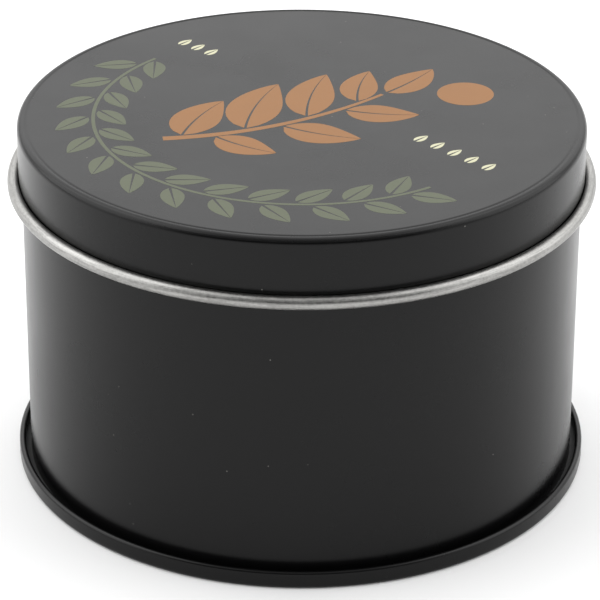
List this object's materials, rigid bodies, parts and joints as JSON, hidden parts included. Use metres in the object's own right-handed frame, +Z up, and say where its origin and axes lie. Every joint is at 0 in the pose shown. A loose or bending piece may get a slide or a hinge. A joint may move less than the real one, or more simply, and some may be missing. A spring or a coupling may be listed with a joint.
{
  "type": "candle tin",
  "caption": "Round tinplate container with a slip lid that lifts straight off, a seamed-on base, and a poured candle with a wick inside.",
  "frame": {"origin": "on the tin's axis, at the flat foot ring of the base seam that the tin stands on", "axes": "+Z up along the axis towards the lid, +Y towards the welded lap at the back of the body"},
  "size_m": [0.08, 0.08, 0.0505],
  "materials": {
    "coated_tinplate": "satin black baked coating outside, bare bright tinplate inside and on the lid's curl",
    "lining_compound": "matte black, cured sealing compound",
    "candle_wax": "cream wax with a soft sheen",
    "wick_cotton": "waxed braided cotton",
    "foot_metal": "thin bare tinplate stamping",
    "adhesive_foam": "matte white adhesive foam"
  },
  "bodies": {
    "tin": {"body_wall": "coated_tinplate", "base": "coated_tinplate", "seam_sealant": "lining_compound", "wax": "candle_wax", "wick": "wick_cotton", "wick_sustainer": "foot_metal", "wick_sticker": "adhesive_foam"},
    "lid": {"lid": "coated_tinplate"}
  },
  "joints": [
    {"name": "lid_lift", "type": "slide", "parent": "tin", "child": "lid", "axis": [0, 0, 1], "range_m": [0, 0.03]}
  ]
}
